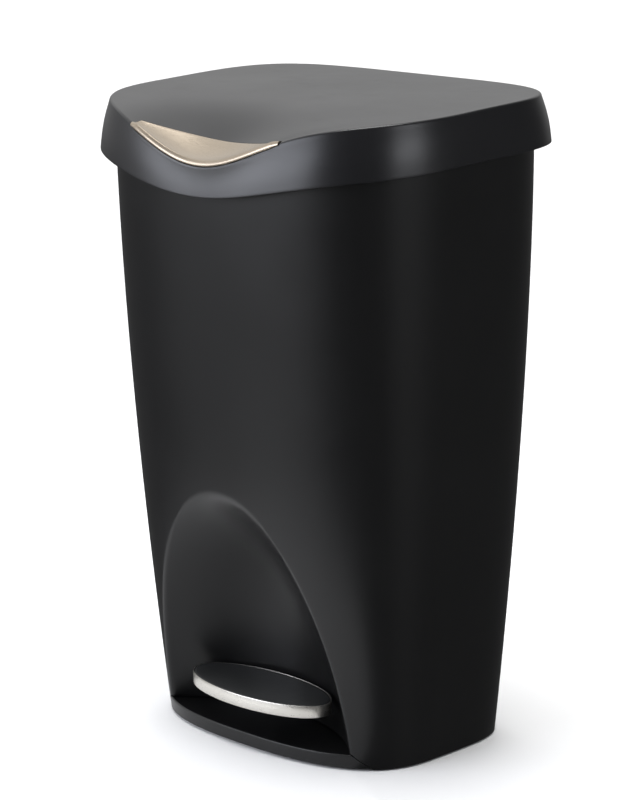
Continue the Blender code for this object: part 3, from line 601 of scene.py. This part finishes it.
def trim_back(x):
    """Back edge of the crescent."""
    mid, tip, power = TRIM_BACK
    return mid + (tip - mid) * (np.abs(x) / TRIM_X) ** power + SHIFT_Y


def trim_grid(u, grow=0.0):
    """The crescent from back to front: x, y, height, distance from the front and back edges,
    depth of the dish, thickness, and the fade towards the tips.
    """
    half = TRIM_X + grow
    x = -half * np.cos(np.pi * np.arange(TRIM_X_STEPS + 1) / TRIM_X_STEPS)
    x = 0.5 * x + 0.5 * np.linspace(-half, half, TRIM_X_STEPS + 1)
    end = np.minimum(1, (half - np.abs(x)) / END_LENGTH + END_LEFT)[:, None]
    back = (trim_back(np.minimum(np.abs(x), TRIM_X)) + grow)[:, None]
    front = (lid_front(x) - TRIM_LIP - grow)[:, None]
    y = back + (front - back) * u
    x = np.repeat(x[:, None], len(u), axis=1)
    dish = TRIM_DISH * np.sin(np.pi * np.minimum(u / DISH_END, 1)) * end
    depth = TRIM_T + RIM_T * end * (u >= RIM_START)
    return x, y, lid_z(x, y) + TRIM_PROUD, y - front, back - y, dish, depth, end


def closed_slab(x, y, top, low):
    """Vertices and faces of the closed slab between a top and a lower grid."""
    rows, cols = x.shape
    count = rows * cols
    verts = np.vstack([np.column_stack([x.ravel(), y.ravel(), z.ravel()]) for z in (top, low)])
    faces = grid_faces(rows, cols, False) + grid_faces(rows, cols, False, count, True)
    for i in range(rows - 1):
        for j in (0, cols - 1):
            a, b = i * cols + j, (i + 1) * cols + j
            faces.append((a, b, b + count, a + count))
    for j in range(cols - 1):
        for i in (0, rows - 1):
            a = i * cols + j
            faces.append((a, a + 1, a + 1 + count, a + count))
    return verts, faces


def trim_tool():
    """The seat that the trim needs in the lid."""
    u = np.linspace(0, 1, TRIM_Y_STEPS + 1)
    x, y, z, _, _, dish, depth, _ = trim_grid(u, SEAT_GAP)
    low = z - dish - depth - SEAT_GAP - np.where(u > 0.999, TOOL_BELOW, 0.0)
    return closed_slab(x, y, z + TOOL_ABOVE, low)


def make_trim():
    """Crescent plate: dished face, raised bright front rim, blunt ends."""
    u = 1 - (1 - np.linspace(0, 1, TRIM_Y_STEPS + 1)) ** 1.5
    x, y, z, run, rear_run, dish, depth, end = trim_grid(u)
    edge = RIM_R - np.sqrt(np.maximum(RIM_R ** 2 - np.maximum(RIM_R - run, 0) ** 2, 0))
    crest = RIM_CREST * np.exp(-((run - CREST_AT) / CREST_W) ** 2) * end
    rear = REAR_SLOPE * np.maximum(0, REAR_W - rear_run)
    top = z - dish - edge + crest - rear
    low = np.minimum(z - dish - depth + UNDERCUT * edge, top - THINNEST)
    trim = piece("visual_trim", *closed_slab(x, y, top, low), NICKEL, "lid",
                 "handle_trim", "handle_trim")
    keep_edges(trim, 50.0)


# ---------------------------------------------------------------- pedal
def lens(grow, z, share=1.0, count=260):
    """The pedal's outline, grown outwards and then drawn in by a share."""
    t = 2 * np.pi * np.arange(count) / count
    return np.column_stack([(PEDAL[0] + grow) * np.cos(t) * share,
                            PEDAL[2] + (PEDAL[1] + grow) * np.sin(t) * share, np.full(count, z)])


def make_pedal():
    """The band, a thin closed ring with rounded edges, and the domed pad inside it."""
    low, top = PEDAL_TOP - PEDAL_H, PEDAL_TOP
    profile = [(-0.0012, low + 0.0006), (-0.0010, low + 0.0001), (-0.0006, low),
               (-0.0002, low + 0.0002), (0.0, low + 0.0007), (0.0001, low + 0.006),
               (0.0, top - 0.0008), (-0.0002, top - 0.0003), (-0.0005, top - 0.0001),
               (-0.0010, top - 0.0001), (-0.0013, top - 0.0004), (-0.0014, top - 0.0012)]
    rows = [lens(g, z) for g, z in profile]
    cols = len(rows[0])
    last = (len(rows) - 1) * cols
    faces = grid_faces(len(rows), cols, True)
    faces += [(last + j, last + (j + 1) % cols, (j + 1) % cols, j) for j in range(cols)]
    piece("visual_pedal_band", np.vstack(rows), faces, BAND, "pedal", "pedal_band", "pedal_band")

    dome, under_pad = top + 0.0003, top - 0.0018
    profile = [(-0.0017, under_pad), (-0.0017, top - 0.0006), (-0.0019, top - 0.0002),
               (-0.0024, top + 0.0001)]
    rows = [lens(g, z) for g, z in profile] + [lens(-0.0040, dome, 1 - k / 8) for k in range(8)]
    count = len(rows) * cols
    verts = np.vstack(rows + [[[0, PEDAL[2], dome], [0, PEDAL[2], under_pad]]])
    faces = grid_faces(len(rows), cols, True) + cap(count - cols, count, cols)
    faces += cap(0, count + 1, cols)
    piece("visual_pedal_pad", verts, faces, PAD, "pedal", "pedal_pad", "pedal_pad")


make_body()
make_base()
make_lid()
make_trim()
make_pedal()

# ---------------------------------------------------------------- carried-over CAD nodes
# Looks by the start of a node's name; every other node is plain plastic.
FINISH = {"hinge_screw": STEEL, "crank_screw": STEEL, "hinge_pin": STEEL, "lift_rod": STEEL,
          "clevis_pin": STEEL, "pedal_axle": STEEL, "axle_clip": STEEL, "pedal_lever": STEEL,
          "foot_": RUBBER, "lid_bumper": RUBBER}
for name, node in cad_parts.items():
    for slot in node.material_slots:
        slot.material = next((m for key, m in FINISH.items() if name.startswith(key)), INNER)

# ---------------------------------------------------------------- floor, light and camera
AIM = (0.0, 0.0, 0.50)      # the middle of the can, which the lamps point at
FLOOR_HALF, FLOOR_LEVEL = 30.0, 0.92
# Reflections see only the ground just in front, as on a small table in a dim studio.
TABLE_AT, TABLE_SIZE = (-0.07, -0.34), (0.40, 0.30)
TABLE_Z, TABLE_LEVEL, TABLE_STEPS = 0.0002, 0.80, 96
# Directions on the ground plan: away and to the left of the camera, and towards the two lamps.
AWAY, KEY_SIDE, STRIP_SIDE = (-0.93, 0.36, 0.0), (-0.41, -0.91, 0.0), (0.986, 0.152, 0.0)
AMBIENT, HORIZON_GLOW, SKY_GLOW, KEY_BOUNCE, STRIP_BOUNCE = 0.10, 0.38, 0.78, 0.50, 0.30
SUN_LEVEL, SUN_SPREAD = 2.9, 40.0
CAMERA_AT, CAMERA_DOWN, CAMERA_TURN = (1.8875, -1.9470, 0.9587), 12.97, 43.98
LENS, SENSOR = 126.837, 36.0


def emitter(name, place, size, power, tint):
    """Rectangular lamp that points at the can."""
    data = bpy.data.lights.new(name, 'AREA')
    data.shape, data.size, data.size_y = 'RECTANGLE', size[0], size[1]
    data.energy, data.color = power, tint
    obj = bpy.data.objects.new(name, data)
    obj.location = place
    obj.rotation_euler = (Vector(AIM) - Vector(place)).to_track_quat('-Z', 'Y').to_euler()
    bpy.context.scene.collection.objects.link(obj)


def pale_ground(name, level, points, z):
    """Flat matt ground of one pale tone with a trace of drift."""
    ground = Nodes(name)
    drift = ground.noise(ground.coords(), scale=2.0)
    ground.link(ground.ramp(drift, (level - 0.02,) * 3, (level,) * 3), "Base Color")
    ground.shader.inputs["Roughness"].default_value = 0.6
    obj = piece(name, [(x, y, z) for x, y in points], [tuple(range(len(points)))],
                ground.mat, None, None, smooth=False, turn=False)
    return obj


def make_ground():
    """The wide floor, and the small disc that only reflections see."""
    corners = ((-1, -1), (1, -1), (1, 1), (-1, 1))
    square = [(x * FLOOR_HALF, y * FLOOR_HALF) for x, y in corners]
    floor = pale_ground("floor", FLOOR_LEVEL, square, 0.0)
    floor.visible_glossy = False
    turns = [2 * math.pi * k / TABLE_STEPS for k in range(TABLE_STEPS)]
    oval = [(TABLE_AT[0] + TABLE_SIZE[0] * math.cos(t), TABLE_AT[1] + TABLE_SIZE[1] * math.sin(t))
            for t in turns]
    table = pale_ground("table", TABLE_LEVEL, oval, TABLE_Z)
    table.visible_camera = table.visible_diffuse = table.visible_shadow = False


def studio_world():
    """Dim room, paler on the far side and upwards, with soft bounce under the two lamps."""
    world = bpy.data.worlds.new("studio")
    bpy.context.scene.world = world
    world.use_nodes = True
    tree = world.node_tree
    back = tree.nodes["Background"]
    coord = tree.nodes.new("ShaderNodeTexCoord")

    def towards(direction, low, high, out_low, out_high):
        """Smooth step between two cosines of the angle from a fixed direction."""
        dot = tree.nodes.new("ShaderNodeVectorMath")
        dot.operation = 'DOT_PRODUCT'
        tree.links.new(coord.outputs["Generated"], dot.inputs[0])
        dot.inputs[1].default_value = direction
        node = tree.nodes.new("ShaderNodeMapRange")
        node.interpolation_type = 'SMOOTHSTEP'
        tree.links.new(dot.outputs["Value"], node.inputs["Value"])
        for key, value in (("From Min", low), ("From Max", high),
                           ("To Min", out_low), ("To Max", out_high)):
            node.inputs[key].default_value = value
        return node.outputs["Result"]

    def combine(kind, a, b):
        """Maths node over a socket and a second socket or number."""
        node = tree.nodes.new("ShaderNodeMath")
        node.operation = kind
        tree.links.new(a, node.inputs[0])
        if isinstance(b, float):
            node.inputs[1].default_value = b
        else:
            tree.links.new(b, node.inputs[1])
        return node.outputs[0]

    up = (0.0, 0.0, 1.0)
    above = towards(up, -0.15, 0.0, 0.0, HORIZON_GLOW)
    sky = towards(up, 0.10, 0.55, 0.0, SKY_GLOW)
    total = combine('MULTIPLY', combine('ADD', above, sky), towards(AWAY, 0.10, 0.60, 0.0, 1.0))
    below = towards(up, -0.05, 0.10, 1.0, 0.0)
    bounce = combine('ADD', towards(KEY_SIDE, 0.68, 1.0, 0.0, KEY_BOUNCE),
                     towards(STRIP_SIDE, 0.85, 0.98, 0.0, STRIP_BOUNCE))
    total = combine('ADD', total, combine('MULTIPLY', bounce, below))
    tree.links.new(combine('ADD', total, AMBIENT), back.inputs["Strength"])
    back.inputs["Color"].default_value = (1.0, 1.0, 1.0, 1.0)


def make_sun():
    """Wide soft light from straight above."""
    data = bpy.data.lights.new("overhead", 'SUN')
    data.energy, data.angle = SUN_LEVEL, math.radians(SUN_SPREAD)
    bpy.context.scene.collection.objects.link(bpy.data.objects.new("overhead", data))


def make_camera():
    """Long lens from the front right, a little above the can."""
    data = bpy.data.cameras.new("camera")
    data.sensor_width, data.sensor_fit, data.lens = SENSOR, 'AUTO', LENS
    data.clip_end = 50.0
    camera = bpy.data.objects.new("camera", data)
    camera.location = CAMERA_AT
    camera.rotation_euler = (math.radians(90 - CAMERA_DOWN), 0.0, math.radians(CAMERA_TURN))
    bpy.context.scene.collection.objects.link(camera)
    bpy.context.scene.camera = camera


make_ground()
studio_world()
make_sun()
emitter("key_front", (-1.05, -2.45, 1.15), (2.4, 1.3), 62, (0.88, 0.91, 1.0))
emitter("side_strip", (2.92, 0.10, 1.3), (1.5, 1.0), 18, (0.93, 0.95, 1.0))
make_camera()
bpy.context.scene.view_settings.view_transform = 'Standard'

bpy.context.view_layer.update()
